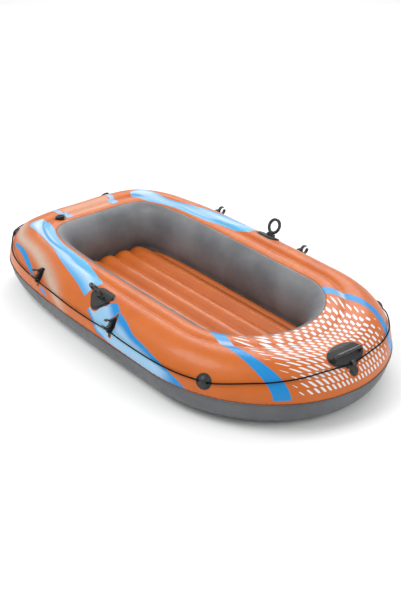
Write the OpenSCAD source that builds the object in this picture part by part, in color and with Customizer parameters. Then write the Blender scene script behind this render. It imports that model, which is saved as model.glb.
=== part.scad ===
/* [Hull] */
// Length over all
hull_l = 1960; // [1634:1:2352]
// Greatest breadth
hull_w = 1080; // [900:1:1296]
// Height of the tubes
hull_h = 280; // [234:1:336]
// Greatest breadth, forward of the middle
beam_x = 380; // [300:1:440]
// Roundness of the stern in plan, more is squarer
stern_fullness = 4.4; // [3.6:0.1:5]
// Roundness of the bow in plan, more is blunter
bow_fullness = 2; // [1.8:0.1:2.4]
// Outer edge of the hull to the crest of its tube
tube_reach = 125; // [110:1:140]
// Height of the weld between top and bottom skins
seam_z = 133; // [115:1:160]
// Thickness of every welded film panel
film_t = 1; // [0.8:0.1:1.2]

/* [Deck] */
// Deck width along the sides
side_deck = 222; // [190:1:250]
// Deck width across the stern
stern_deck = 222; // [190:1:260]
// Deck length at the bow
bow_deck = 315; // [270:1:360]
// Crease between the two chambers, as a share of the deck width
crease_share = 0.7; // [0.66:0.01:0.74]
// Crease, below the crest
crease_drop = 12; // [8:1:16]
// Swell of the inner chamber above its weld lines
coaming_rise = 7; // [4:1:10]
// Cockpit weld line, below the crest
coaming_drop = 11; // [8:1:16]
// Roundness of the cockpit's stern corners in plan
cockpit_stern_fullness = 6.3; // [5:0.1:7]
// Roundness of the cockpit's bow end in plan
cockpit_bow_fullness = 1.9; // [1.8:0.1:2.2]
// Swell of the cockpit wall past its upper weld line
wall_swell = 71; // [60:1:80]

/* [Floor] */
// Height of the floor ribs
floor_h = 75; // [64:1:84]
// Depth of the valleys between ribs
rib_dip = 25; // [18:1:28]
// Full-width ribs
rib_count = 5; // [5:2:7]
// Foot of the cockpit wall, inboard of its upper weld line
floor_inset = 50; // [46:1:54]
// Width of each weld strip between ribs
weld_w = 6; // [4:1:8]
// Distance that the floor's inner webs stop short of its edge
web_gap = 45; // [30:1:60]

/* [Rowlocks] */
// Rowlock centre, forward of the middle
rowlock_x = -65; // [-90:1:-40]
// Rowlock's lean away from the crest, in degrees
rowlock_k = 26; // [22:1:30]
// Bore of the rowlock ring
ring_bore_d = 49; // [42:1:54]
// Thickness of the ring's bar
ring_bar = 13; // [11:1:15]
// Diameter of the ring's trunnions
trunnion_d = 6.4; // [5:0.1:7]
// Running clearance round turning parts
turn_gap = 0.1; // [0.06:0.01:0.1]

/* [Oar clasps] */
// Aft clasps, forward of the middle
aft_clasp_x = -470; // [-520:1:-400]
// Fore clasps, forward of the middle
fore_clasp_x = 100; // [70:1:160]
// Clasp's lean away from the crest, in degrees
clasp_k = 57; // [52:1:60]
// Bore of the clasp, which is the oar shaft's diameter
clasp_bore_d = 30; // [26:1:34]
// Wall of the clasp's arms
clasp_wall = 6; // [5:1:8]
// Length of the clasp along the oar
clasp_len = 14; // [10:1:18]
// Mouth between the clasp's tips
clasp_mouth = 20; // [16:1:22]

/* [Rope fittings] */
// Side rope holders, forward of the middle
side_holder_x = 645; // [620:1:660]
// Diameter of a round rope holder
holder_d = 66; // [64:1:76]
// Diameter of the grab rope
rope_d = 6; // [5:0.5:6]
// Diameter of the tunnels that hold the rope
rope_hole_d = 11; // [10:0.5:12]

/* [Bow handle] */
// Length of the handle's moulded patch
patch_l = 180; // [160:1:190]
// Width of the handle's moulded patch
patch_w = 100; // [90:1:108]
// Distance between the handle's feet
grip_l = 140; // [120:1:144]
// Diameter of the handle's bar
grip_d = 13; // [11:1:15]
// Room for fingers under the bar
finger_gap = 16; // [14:1:22]

/* [Valves] */
// Outer diameter of a valve's neck
neck_d = 34; // [32:1:36]
// Wall of a valve's neck
neck_wall = 3; // [2.5:0.5:3.5]
// Diameter of a valve's welded flange
flange_d = 56; // [54:1:60]

/* [Hidden] */

$fn = 48;
orange = "#e2703a";
grey = "#6d6f72";
black = "#232426";

STATIONS = 80;
stern_x = -hull_l / 2;
bow_x = hull_l / 2;
crease_z = hull_h - crease_drop;
coaming_z = hull_h - coaming_drop;
crease_k = acos(2 * crease_z / hull_h - 1);
seam_k = acos(2 * seam_z / hull_h - 1);
// Rise of the bottom skin where the divider pulls it up
keel_rise = 8;

// ---- Plan outlines, by an angle t round the hull from the bow ----

function superellipse(t, aft_x, fore_x, half_w, aft_n, fore_n) =
    let (n = cos(t) > 0 ? fore_n : aft_n,
         reach = cos(t) > 0 ? fore_x - beam_x : beam_x - aft_x,
         r = pow(pow(abs(cos(t)), n) + pow(abs(sin(t)), n), -1 / n))
    [beam_x + reach * r * cos(t), half_w * r * sin(t)];

function outer_edge(t) =
    superellipse(t, stern_x, bow_x, hull_w / 2, stern_fullness, bow_fullness);

function cockpit_edge(t) =
    superellipse(t, stern_x + stern_deck, bow_x - bow_deck, hull_w / 2 - side_deck,
                 cockpit_stern_fullness, cockpit_bow_fullness);

// Deck width square to the outline
function deck_span(t) =
    let (ends = pow(cos(t), 2))
    side_deck + ends * ((cos(t) > 0 ? bow_deck : stern_deck) - side_deck);

function crease_w(t) = crease_share * deck_span(t);

// Point at plan angle t, a distance w in from the outer edge, at height z
function hull_point(t, w, z) =
    let (f = w / deck_span(t), p = outer_edge(t) * (1 - f) + cockpit_edge(t) * f)
    [p[0], p[1], z];

// Plan angle of a place x along the starboard side
function side_angle(x) =
    let (aft = x < beam_x,
         n = aft ? stern_fullness : bow_fullness,
         f = (x - beam_x) / (aft ? beam_x - stern_x : bow_x - beam_x),
         y = pow(1 - pow(abs(f), n), 1 / n))
    -atan2(y, f);

// ---- Sections, as [w, z] pairs ----

// Outer chamber, by an angle k from its crest, positive outboard
function tube_wz(t, k) =
    [k >= 0 ? tube_reach * (1 - sin(k))
            : tube_reach + (crease_w(t) - tube_reach) * sin(-k) / sin(crease_k),
     hull_h / 2 * (1 + cos(k))];

// Inner chamber's top, by a share s from the crease to the cockpit weld
function coaming_wz(t, s) =
    [crease_w(t) + s * (deck_span(t) - crease_w(t)),
     crease_z + s * (coaming_z - crease_z) + coaming_rise * sin(180 * s)];

// Cockpit wall, an ellipse by an angle from its top
wall_b = hull_h / 2 - 8;
wall_top = acos((coaming_z - hull_h / 2) / wall_b);
wall_a = wall_swell / (1 - sin(wall_top));
function wall_wz(t, a) =
    [deck_span(t) + wall_a * (sin(a) - sin(wall_top)), hull_h / 2 + wall_b * cos(a)];

// Bottom of the inner chamber, by a share s from the divider to the floor
function keel_wz(t, s) =
    [crease_w(t) + s * (deck_span(t) + floor_inset - crease_w(t)),
     keel_rise * (1 - sin(min(90, 180 * s)))];

TUBE_STEPS = [for (i = [1:6]) seam_k - i * seam_k / 6];

function top_section(t) = [
    tube_wz(t, seam_k),
    for (k = TUBE_STEPS) tube_wz(t, k),
    tube_wz(t, -crease_k / 2),
    for (s = [0:0.25:1]) coaming_wz(t, s)
];
function bottom_section(t) = [
    for (k = [0:0.2:1]) tube_wz(t, seam_k + k * (180 - seam_k)),
    for (s = [0, 0.25, 0.5, 1]) keel_wz(t, s)
];
foot_z = 46;
function wall_section(t) = [
    for (i = [0:7]) wall_wz(t, wall_top + i * (125 - wall_top) / 7),
    [deck_span(t) + floor_inset, foot_z],
    [deck_span(t) + floor_inset, film_t]
];

function unit(v) = v / norm(v);

// The line moved sideways by d, to its right, with the ends moved as told
function beside(line, d, first, last) =
    [for (i = [0:len(line) - 1])
        line[i] + d * (i == 0 ? first : i == len(line) - 1 ? last
            : let (v = unit(line[i + 1] - line[i - 1])) [v[1], -v[0]])];

// ---- Builders ----

// Two triangles between a, b on one station and c, d on the next. They split
// the quad one way to starboard and the other way to port, so the hull mirrors.
function quad(a, b, c, d, station) =
    (station + STATIONS) % STATIONS < STATIONS / 2
        ? [[a, b, c], [b, d, c]] : [[a, d, c], [a, b, d]];
function turned(faces) = [for (f = faces) [f[2], f[1], f[0]]];

// A solid round the whole hull, from one closed loop of [w, z] per station
module ring_solid(loops) {
    n = len(loops[0]);
    points = [for (i = [0:STATIONS - 1]) for (p = loops[i])
        hull_point(i * 360 / STATIONS, p[0], p[1])];
    faces = [for (i = [0:STATIONS - 1], j = [0:n - 1])
        let (k = (j + 1) % n, next = (i + 1) % STATIONS * n)
        each quad(i * n + j, i * n + k, next + j, next + k, i)];
    polyhedron(points, faces);
}

// A film panel round the hull between a section line and its inner side
module panel(sections, first, last) {
    ring_solid([for (line = sections)
        let (inner = beside(line, film_t, first, last))
        concat(line, [for (j = [len(line) - 1:-1:0]) inner[j]])]);
}

// Part of the deck's outer surface as a slab, between two heights above it
module deck_slab(t, low, high) {
    first = floor(t * STATIONS / 360) - SLAB_SPAN;
    rows = [for (i = [first:first + 2 * SLAB_SPAN + 1]) i];
    n = len(top_section(0));
    last = len(rows) - 1;
    up = len(rows) * n;
    function skin(h) = [for (i = rows)
        let (t = i * 360 / STATIONS, line = beside(top_section(t), -h, [1, 0], [0, -1]))
        for (p = line) hull_point(t, p[0], p[1])];
    function deck_faces(base) = [for (i = [0:last - 1], j = [0:n - 2])
        let (a = base + i * n + j) each quad(a, a + 1, a + n, a + n + 1, rows[i])];
    function wall_faces(from, steps, jump) = [for (i = [0:steps - 1])
        let (a = from + i * jump, b = a + jump)
        each [[a, b, b + up], [a, b + up, a + up]]];
    polyhedron(concat(skin(low), skin(high)), concat(
        deck_faces(up),
        turned(deck_faces(0)),
        turned(wall_faces(0, n - 1, 1)),
        wall_faces(last * n, n - 1, 1),
        wall_faces(0, last, n),
        turned(wall_faces(n - 1, last, n))));
}
SLAB_SPAN = 3;
weld_bite = 1.2;

// Places children on a surface: x runs forward, y up the section, z outward
module on_surface(p, ahead, up) {
    n = unit(cross(ahead, up));
    u = unit(ahead);
    v = cross(n, u);
    multmatrix([[u[0], v[0], n[0], p[0]],
                [u[1], v[1], n[1], p[1]],
                [u[2], v[2], n[2], p[2]],
                [0, 0, 0, 1]])
        children();
}
function to_hull(t, wz) = hull_point(t, wz[0], wz[1]);
module on_tube(t, k) {
    on_surface(to_hull(t, tube_wz(t, k)),
               to_hull(t + 0.5, tube_wz(t + 0.5, k)) - to_hull(t - 0.5, tube_wz(t - 0.5, k)),
               to_hull(t, tube_wz(t, k - 0.5)) - to_hull(t, tube_wz(t, k + 0.5)))
        children();
}
module on_coaming(t, s) {
    on_surface(to_hull(t, coaming_wz(t, s)),
               to_hull(t + 0.5, coaming_wz(t + 0.5, s)) - to_hull(t - 0.5, coaming_wz(t - 0.5, s)),
               to_hull(t, coaming_wz(t, s + 0.02)) - to_hull(t, coaming_wz(t, s - 0.02)))
        children();
}
module to_port() {
    mirror([0, 1, 0]) children();
}

// A moulded pad that follows the deck under its outline
module pad(t, thick) {
    intersection() {
        children();
        deck_slab(t, 0, thick);
    }
}
// What stands on a pad, let into it but not into the deck below
module on_pad(t) {
    difference() {
        children();
        deck_slab(t, -30, weld_bite);
    }
}
module prism(h = 40) {
    translate([0, 0, -h]) linear_extrude(2 * h) children();
}
module rounded(centres) {
    hull() for (c = centres) translate([c[0], c[1]]) circle(c[2], $fn = 32);
}

// ---- Hull and floor ----

all_t = [for (i = [0:STATIONS - 1]) i * 360 / STATIONS];

module hull_top_skin() {
    color(orange) difference() {
        panel([for (t = all_t) top_section(t)], [1, 0], [0, -1]);
        on_inner_valve() valve_cutout();
        on_outer_valve() valve_cutout();
    }
}
module hull_bottom_skin() {
    color(grey) ring_solid([for (t = all_t)
        let (line = bottom_section(t), inner = beside(line, -film_t, [-1, 0], [0, -1]))
        concat(inner, [for (j = [len(line) - 1:-1:0]) line[j]])]);
}
module cockpit_wall() {
    color(grey) panel([for (t = all_t) wall_section(t)], [0, -1], [-1, 0]);
}
divider_bite = 0.5;
module chamber_divider() {
    color(grey) ring_solid([for (t = all_t)
        let (w = crease_w(t), top = crease_z - film_t + divider_bite,
             foot = keel_rise + film_t - divider_bite)
        [[w - film_t / 2, foot], [w - film_t / 2, top],
         [w + film_t / 2, top], [w + film_t / 2, foot]]]);
}

floor_half = hull_w / 2 - side_deck - floor_inset;
rib_pitch = 2 * floor_half / (rib_count + 1);
valley_z = floor_h - rib_dip;
rib_half = (rib_pitch - weld_w) / 2;
rib_r = (rib_half * rib_half + rib_dip * rib_dip) / (2 * rib_dip);
shoulder_inset = floor_inset + 12;

module floor_plan(inset, low, high) {
    translate([0, 0, low]) linear_extrude(high - low)
        polygon([for (t = all_t)
            let (p = hull_point(t, deck_span(t) + inset, 0)) [p[0], p[1]]]);
}
// The inflated floor as one block, drawn in by the film's thickness
module floor_block(in) {
    intersection() {
        union() {
            floor_plan(floor_inset + in, film_t, foot_z - in);
            floor_plan(shoulder_inset + in, film_t, floor_h + 1);
        }
        union() {
            translate([-hull_l, -floor_half, 0])
                cube([2 * hull_l, 2 * floor_half, valley_z - in]);
            for (i = [-(rib_count - 1) / 2:(rib_count - 1) / 2])
                translate([-hull_l, i * rib_pitch, floor_h - rib_r])
                    rotate([0, 90, 0]) cylinder(h = 2 * hull_l, r = rib_r - in);
        }
    }
}
module floor_top_sheet() {
    color(orange) difference() {
        floor_block(0);
        difference() {
            floor_block(film_t);
            translate([-hull_l, -hull_w, 0]) cube([2 * hull_l, 2 * hull_w, film_t]);
        }
        on_floor_valve() valve_cutout();
    }
}
module floor_bottom_sheet() {
    color(grey) floor_plan(floor_inset, 0, film_t);
}
module floor_webs() {
    color(orange) intersection() {
        floor_plan(floor_inset + web_gap, film_t, valley_z - film_t);
        for (i = [-rib_count / 2:rib_count / 2])
            translate([-hull_l, i * rib_pitch - film_t / 2, 0])
                cube([2 * hull_l, film_t, hull_h]);
    }
}

// ---- Rowlocks ----

rowlock_t = side_angle(rowlock_x);
flange_t = 2.5;
rowlock_pad_t = 7;
hinge_z = 12;
barrel_d = 11;
ear_w = 7;
ear_gap = 0.4;
barrel_l = 30;
ear_in = barrel_l / 2 + ear_gap;
ring_r = ring_bore_d / 2 + ring_bar;
// Hinge to the ring's centre, which carries the ring's bar clear of the ears
ring_lift = sqrt(ring_r * ring_r - ear_in * ear_in) + barrel_d / 2 + ear_gap;

module rowlock_outline(in) {
    rounded([[-30, 8, 37 - in], [30, 8, 37 - in], [0, -22, 37 - in]]);
}
module rowlock_base() {
    color(black) {
        difference() {
            union() {
                pad(rowlock_t, flange_t)
                    on_tube(rowlock_t, rowlock_k) prism() rowlock_outline(0);
                pad(rowlock_t, rowlock_pad_t)
                    on_tube(rowlock_t, rowlock_k) prism() rowlock_outline(9);
                on_pad(rowlock_t) on_tube(rowlock_t, rowlock_k)
                    for (side = [-1, 1])
                        translate([side * (ear_in + ear_w / 2), 0, 0]) ear();
            }
            on_tube(rowlock_t, rowlock_k) {
                translate([0, 0, hinge_z]) rotate([0, 90, 0])
                    cylinder(h = 2 * (ear_in + ear_w) + 2, d = trunnion_d + 2 * turn_gap,
                             center = true);
                translate([0, 0, hinge_z]) rotate([0, 90, 0])
                    cylinder(h = 2 * ear_in, d = barrel_d + 4, center = true);
            }
        }
    }
}
module ear() {
    translate([0, 0, hinge_z]) rotate([0, 90, 0])
        cylinder(h = ear_w, d = barrel_d, center = true);
    translate([-ear_w / 2, -barrel_d / 2, -5]) cube([ear_w, barrel_d, hinge_z + 5]);
}
module rowlock_ring() {
    flat = ring_bar - 5;
    color(black) on_tube(rowlock_t, rowlock_k) translate([0, 0, hinge_z]) {
        rotate([0, 90, 0]) cylinder(h = barrel_l, d = barrel_d, center = true);
        rotate([0, 90, 0])
            cylinder(h = 2 * (ear_in + ear_w), d = trunnion_d, center = true);
        translate([0, 0, ring_lift]) rotate([90, 0, 0]) rotate_extrude()
            polygon([for (side = [-1, 1]) each side < 0
                ? [[ring_bore_d / 2, -flat / 2], [ring_bore_d / 2 + 2.5, -ring_bar / 2],
                   [ring_r - 3, -ring_bar / 2], [ring_r, 3 - ring_bar / 2]]
                : [[ring_r, ring_bar / 2 - 3], [ring_r - 3, ring_bar / 2],
                   [ring_bore_d / 2 + 2.5, ring_bar / 2], [ring_bore_d / 2, flat / 2]]]);
    }
}

// ---- Oar clasps ----

clasp_r = clasp_bore_d / 2 + clasp_wall;
clasp_z = clasp_r + 11;
eyelet_y = -27;
eyelet_z = 9;
module clasp_body() {
    leg_foot = 34;
    rotate([90, 0, 90]) difference() {
        union() {
            translate([0, clasp_z, 0]) cylinder(h = clasp_len, r = clasp_r, center = true);
            linear_extrude(clasp_len - 4, center = true)
                polygon([[-leg_foot, -6], [-leg_foot, 5], [-clasp_r + 3, clasp_z - 6],
                         [clasp_r - 3, clasp_z - 6], [leg_foot, 5], [leg_foot, -6]]);
            translate([eyelet_y, eyelet_z, 0])
                cylinder(h = clasp_len - 4, d = rope_hole_d + 7, center = true);
        }
        translate([0, clasp_z, 0]) cylinder(h = clasp_len + 2, d = clasp_bore_d, center = true);
        translate([-clasp_mouth / 2, clasp_z, -clasp_len])
            cube([clasp_mouth, 2 * clasp_r, 2 * clasp_len]);
        translate([eyelet_y, eyelet_z, 0])
            cylinder(h = clasp_len + 2, d = rope_hole_d, center = true);
    }
}
module oar_clasp(x) {
    t = side_angle(x);
    color(black) {
        pad(t, flange_t) on_tube(t, clasp_k) prism()
            rounded([[0, -46, 6], [0, 0, 18], [0, 46, 6]]);
        on_pad(t) on_tube(t, clasp_k) clasp_body();
    }
}

// ---- Rope holders ----

stern_holder_t = -143;
stern_holder_k = 52;
side_holder_t = side_angle(side_holder_x);
side_holder_k = 68;
dome_r = 32;
dome_z = 15;
tunnel_z = 6.5;
module rope_holder(t, k) {
    color(black) {
        difference() {
            union() {
                pad(t, flange_t) on_tube(t, k) prism() circle(d = holder_d);
                on_pad(t) on_tube(t, k) rotate_extrude() intersection() {
                    translate([0, dome_z - dome_r]) circle(dome_r);
                    translate([0, -dome_z / 2]) square([dome_r, 2 * dome_z]);
                }
            }
            on_tube(t, k) translate([0, 0, tunnel_z]) rotate([0, 90, 0])
                cylinder(h = 2 * holder_d, d = rope_hole_d, center = true);
        }
    }
}

// ---- Bow handle ----

patch_k = 28;
handle_y = -6;
lobe_y = -66;
patch_pad_t = 5;
bow_eye_k = 47;
bow_eye_z = 11;
foot_d = grip_d + 9;
bar_z = finger_gap + patch_pad_t + grip_d / 2;
bend_r = 14;
// Bottom of the handle's sockets, clear of the film under the patch
socket_z = -1.5;
module patch_outline(in) {
    union() {
        polygon([for (a = [0:10:350])
            [(patch_l / 2 - in) * cos(a), (patch_w / 2 - in) * sin(a)]]);
        rounded([[0, -20, 40 - in], [0, lobe_y, 22 - in]]);
    }
}
module bow_handle_patch() {
    color(black) difference() {
        union() {
            pad(0, flange_t) on_tube(0, patch_k) prism() patch_outline(0);
            pad(0, patch_pad_t) on_tube(0, patch_k) prism() patch_outline(8);
            on_pad(0) {
                on_tube(0, patch_k) for (side = [-1, 1])
                    translate([side * grip_l / 2, handle_y, -12])
                        cylinder(h = 22, d = foot_d);
                on_tube(0, bow_eye_k) translate([0, 0, bow_eye_z]) rotate([0, 90, 0])
                    cylinder(h = 16, d = rope_hole_d + 9, center = true);
            }
        }
        on_tube(0, patch_k) for (side = [-1, 1])
            translate([side * grip_l / 2, handle_y, socket_z]) cylinder(h = 40, d = grip_d);
        on_tube(0, bow_eye_k) translate([0, 0, bow_eye_z]) rotate([0, 90, 0])
            cylinder(h = patch_l, d = rope_hole_d, center = true);
    }
}
module bow_handle_bar() {
    color(black) on_tube(0, patch_k) translate([0, handle_y, 0]) {
        translate([0, 0, bar_z]) rotate([0, 90, 0])
            cylinder(h = grip_l - 2 * bend_r, d = grip_d, center = true);
        for (side = [0, 1]) mirror([side, 0, 0]) {
            translate([grip_l / 2 - bend_r, 0, bar_z - bend_r]) rotate([90, 0, 0])
                rotate_extrude(angle = 90) translate([bend_r, 0]) circle(d = grip_d);
            translate([grip_l / 2, 0, socket_z])
                cylinder(h = bar_z - bend_r - socket_z, d = grip_d);
        }
    }
}

// ---- Valves ----

neck_h = 9;
neck_depth = 12;
bore_d = neck_d - 2 * neck_wall;
cap_d = neck_d + 8;
cap_h = 8;
cap_top = 2.5;
ring_t = 1.6;
collar_d = neck_d + 4;
port_d = 12;
body_h = 8;
flap_t = 0.8;

module valve_cutout() {
    translate([0, 0, -20]) cylinder(h = 40, d = neck_d + 0.4);
}
module valve_neck() {
    difference() {
        translate([0, 0, -neck_depth]) cylinder(h = neck_h + neck_depth, d = neck_d);
        translate([0, 0, -neck_depth - 1]) cylinder(h = neck_h + neck_depth + 2, d = bore_d);
    }
}
// Screwed-in body with its filling port, a spider and the flap's seat
module valve_body() {
    color(black) difference() {
        union() {
            translate([0, 0, neck_h - body_h]) cylinder(h = body_h, d = bore_d);
            translate([0, 0, -4]) cylinder(h = body_h, d = port_d + 5);
        }
        translate([0, 0, -1]) cylinder(h = neck_h + 2, d = port_d);
        for (a = [0:90:270]) rotate(a) translate([3.2, 0, -6]) cylinder(h = 12, d = 3.4);
    }
}
// The soft disc under the body that air pressure shuts
module valve_flap() {
    color("#8d8f91") translate([0, 0, -4 - flap_t]) cylinder(h = flap_t, d = port_d + 4);
}
cap_floor = neck_h + 0.3;
// Cap with a notched rim and a grip bar across its sunken top
module valve_cap() {
    top = cap_floor + cap_top;
    rim = cap_floor - 0.2;
    bore_r = neck_d / 2 + turn_gap;
    color(black) difference() {
        rotate_extrude() polygon([[0, top], [cap_d / 2, top], [cap_d / 2, rim],
            [collar_d / 2, rim], [collar_d / 2, top - cap_h], [bore_r, top - cap_h],
            [bore_r, cap_floor], [0, cap_floor]]);
        for (a = [0:30:330]) rotate(a) translate([cap_d / 2 + 1, 0, rim - 1])
            cylinder(h = cap_top + 2, d = 4, $fn = 24);
        for (side = [-1, 1]) intersection() {
            translate([0, 0, cap_floor + 1]) cylinder(h = cap_top, d = cap_d - 10);
            translate([-cap_d, side > 0 ? 2 : -cap_d - 2, 0]) cube([2 * cap_d, cap_d, 20]);
        }
    }
}
ring_z = cap_floor - ring_t - 0.5;
module tether_ring() {
    color(black) translate([0, 0, ring_z]) difference() {
        cylinder(h = ring_t, d = collar_d + 7);
        translate([0, 0, -1]) cylinder(h = ring_t + 2, d = collar_d + 2 * turn_gap);
    }
}
strap_w = 7;
strap_in = collar_d / 2 + 3.5 + 0.3;
strap_foot = 1;
module tether_strap() {
    color(black) translate([strap_in, -strap_w / 2, strap_foot])
        cube([flange_d / 2 - 1 - strap_in, strap_w, ring_z + ring_t - strap_foot]);
}

inner_valve_t = -154;
inner_valve_s = 0.35;
outer_valve_t = 160;
outer_valve_k = 45;
floor_valve_x = -540;
module on_inner_valve() {
    on_coaming(inner_valve_t, inner_valve_s) children();
}
module on_outer_valve() {
    on_tube(outer_valve_t, outer_valve_k) children();
}
module on_floor_valve() {
    translate([floor_valve_x, -rib_pitch * (rib_count - 1) / 2, floor_h]) children();
}
valve_flange_t = 1.8;
module valve_drill() {
    translate([0, 0, -neck_depth - 8]) cylinder(h = 2 * neck_depth + 16, d = neck_d - 1);
}
// Children: the flange's prism, the drill and the neck, each in its place
module deck_valve_base(t) {
    color(black) {
        difference() {
            pad(t, valve_flange_t) children(0);
            children(1);
        }
        children(2);
    }
}
module flange_prism() {
    prism() circle(d = flange_d);
}
module inner_valve_base() {
    deck_valve_base(inner_valve_t) {
        on_inner_valve() flange_prism();
        on_inner_valve() valve_drill();
        on_inner_valve() valve_neck();
    }
}
module outer_valve_base() {
    deck_valve_base(outer_valve_t) {
        on_outer_valve() flange_prism();
        on_outer_valve() valve_drill();
        on_outer_valve() valve_neck();
    }
}
module rib_rod(r) {
    translate([-flange_d, 0, -rib_r]) rotate([0, 90, 0]) cylinder(h = 2 * flange_d, r = r);
}
module floor_valve_base() {
    color(black) on_floor_valve() {
        difference() {
            intersection() {
                translate([0, 0, -20]) cylinder(h = 40, d = flange_d);
                rib_rod(rib_r + valve_flange_t);
            }
            rib_rod(rib_r);
            valve_drill();
        }
        valve_neck();
    }
}

// ---- Grab rope ----

// Course of the rope along the starboard side, from the knot to the bow
STARBOARD_ROUTE = [
    [-978, -14, 201], [-975, -100, 205], [-967, -190, 213], [-948, -271, 223],
    [-913, -342, 230], [-861, -397, 230], [-826, -425, 218], [-772, -459, 204],
    [-690, -488, 196], [-590, -508, 193], [-481, -524, 197], [-440, -528, 197],
    [-330, -531, 192], [-190, -538, 189], [-40, -540, 190], [84, -541, 197],
    [124, -541, 197], [200, -540, 192], [310, -540, 192], [420, -537, 194],
    [530, -521, 195], [619, -492, 195], [665, -472, 195], [720, -438, 205],
    [790, -377, 217], [848, -313, 224], [903, -218, 233], [935, -115, 241],
    [955, -20, 243]
];
KNOT = [-978, 0, 201];
ROPE_SIDES = 8;
ROPE_RING_SPACING = 90;

LAST_POINT = len(STARBOARD_ROUTE) - 1;
ROUTE = concat(STARBOARD_ROUTE, [for (i = [LAST_POINT:-1:0])
    [STARBOARD_ROUTE[i][0], -STARBOARD_ROUTE[i][1], STARBOARD_ROUTE[i][2]]]);

// A smooth curve from b to c that leaves a and meets d, at a share u
function eased(a, b, c, d, u) =
    (2 * b + (c - a) * u + (2 * a - 5 * b + 4 * c - d) * u * u
        + (3 * b - a - 3 * c + d) * u * u * u) / 2;
function route_point(i) = ROUTE[max(0, min(len(ROUTE) - 1, i))];
ROPE_PATH = concat([for (i = [0:len(ROUTE) - 2])
    let (n = ceil(norm(route_point(i + 1) - route_point(i)) / ROPE_RING_SPACING))
    for (j = [0:n - 1])
        eased(route_point(i - 1), route_point(i), route_point(i + 1), route_point(i + 2), j / n)],
    [route_point(len(ROUTE) - 1)]);

// A tube along a path whose ends face across the boat
module swept_tube(path, radius, sides) {
    last = len(path) - 1;
    points = [for (i = [0:last])
        let (way = i == 0 || i == last ? [0, -1, 0] : unit(path[i + 1] - path[i - 1]),
             across = unit(cross(way, [0, 0, 1])),
             upward = cross(across, way))
        for (j = [0:sides - 1])
            path[i] + radius * (across * cos(j * 360 / sides) + upward * sin(j * 360 / sides))];
    faces = concat(
        [[for (j = [sides - 1:-1:0]) j]],
        [[for (j = [0:sides - 1]) last * sides + j]],
        [for (i = [0:last - 1], j = [0:sides - 1])
            let (a = i * sides + j, b = i * sides + (j + 1) % sides)
            each [[a, b + sides, a + sides], [a, b, b + sides]]]);
    polyhedron(points, faces);
}
module grab_rope() {
    color(black) swept_tube(ROPE_PATH, rope_d / 2, ROPE_SIDES);
}
module rope_knot() {
    end = -STARBOARD_ROUTE[0][1];
    color(black) translate(KNOT) rotate([90, 0, 0]) rotate_extrude()
        polygon([[0, -end], [rope_d / 2, -end], [rope_d * 1.15, -end + 6],
                 [rope_d * 1.15, end - 6], [rope_d / 2, end], [0, end]]);
}

hull_top_skin();
hull_bottom_skin();
cockpit_wall();
chamber_divider();
floor_top_sheet();
floor_bottom_sheet();
floor_webs();
rowlock_base();  // rowlock_base_starboard
to_port() rowlock_base();  // rowlock_base_port
rowlock_ring();  // rowlock_ring_starboard
to_port() rowlock_ring();  // rowlock_ring_port
oar_clasp(aft_clasp_x);  // oar_clasp_aft_starboard
to_port() oar_clasp(aft_clasp_x);  // oar_clasp_aft_port
oar_clasp(fore_clasp_x);  // oar_clasp_fore_starboard
to_port() oar_clasp(fore_clasp_x);  // oar_clasp_fore_port
rope_holder(side_holder_t, side_holder_k);  // rope_holder_side_starboard
to_port() rope_holder(side_holder_t, side_holder_k);  // rope_holder_side_port
rope_holder(stern_holder_t, stern_holder_k);  // rope_holder_stern_starboard
to_port() rope_holder(stern_holder_t, stern_holder_k);  // rope_holder_stern_port
bow_handle_patch();
bow_handle_bar();
grab_rope();
rope_knot();
inner_valve_base();
on_inner_valve() valve_body();  // inner_valve_body
on_inner_valve() valve_flap();  // inner_valve_flap
on_inner_valve() valve_cap();  // inner_valve_cap
on_inner_valve() tether_ring();  // inner_valve_tether_ring
on_inner_valve() tether_strap();  // inner_valve_tether_strap
outer_valve_base();
on_outer_valve() valve_body();  // outer_valve_body
on_outer_valve() valve_flap();  // outer_valve_flap
on_outer_valve() valve_cap();  // outer_valve_cap
on_outer_valve() tether_ring();  // outer_valve_tether_ring
on_outer_valve() tether_strap();  // outer_valve_tether_strap
floor_valve_base();
on_floor_valve() valve_body();  // floor_valve_body
on_floor_valve() valve_flap();  // floor_valve_flap
on_floor_valve() valve_cap();  // floor_valve_cap
on_floor_valve() tether_ring();  // floor_valve_tether_ring
on_floor_valve() tether_strap();  // floor_valve_tether_strap
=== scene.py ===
"""Looks of a two-person inflatable boat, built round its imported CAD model. Metres, +X to the bow."""
import math

import bmesh
import bpy
import numpy as np
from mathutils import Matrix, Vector


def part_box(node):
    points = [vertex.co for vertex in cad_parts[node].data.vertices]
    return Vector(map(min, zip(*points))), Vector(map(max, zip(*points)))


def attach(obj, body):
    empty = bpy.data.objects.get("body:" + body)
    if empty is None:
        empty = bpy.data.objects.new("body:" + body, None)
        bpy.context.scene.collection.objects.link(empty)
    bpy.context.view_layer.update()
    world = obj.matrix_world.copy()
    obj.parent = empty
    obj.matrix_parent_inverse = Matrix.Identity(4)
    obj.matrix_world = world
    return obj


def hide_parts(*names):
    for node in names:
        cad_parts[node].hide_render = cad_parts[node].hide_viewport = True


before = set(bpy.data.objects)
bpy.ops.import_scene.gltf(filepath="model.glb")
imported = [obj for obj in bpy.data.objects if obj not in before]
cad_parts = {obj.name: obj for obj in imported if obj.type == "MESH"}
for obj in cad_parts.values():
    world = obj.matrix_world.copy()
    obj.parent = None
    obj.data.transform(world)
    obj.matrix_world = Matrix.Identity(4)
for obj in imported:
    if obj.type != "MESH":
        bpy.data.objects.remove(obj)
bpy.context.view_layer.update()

# ---- Sizes of the hull, as its CAD sections have them ----
LOW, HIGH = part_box("hull_top_skin")
STERN, BOW = LOW.x, HIGH.x
HALF_W = HIGH.y
HULL_H = HIGH.z
SEAM_Z = LOW.z
BEAM_X = 0.380
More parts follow.
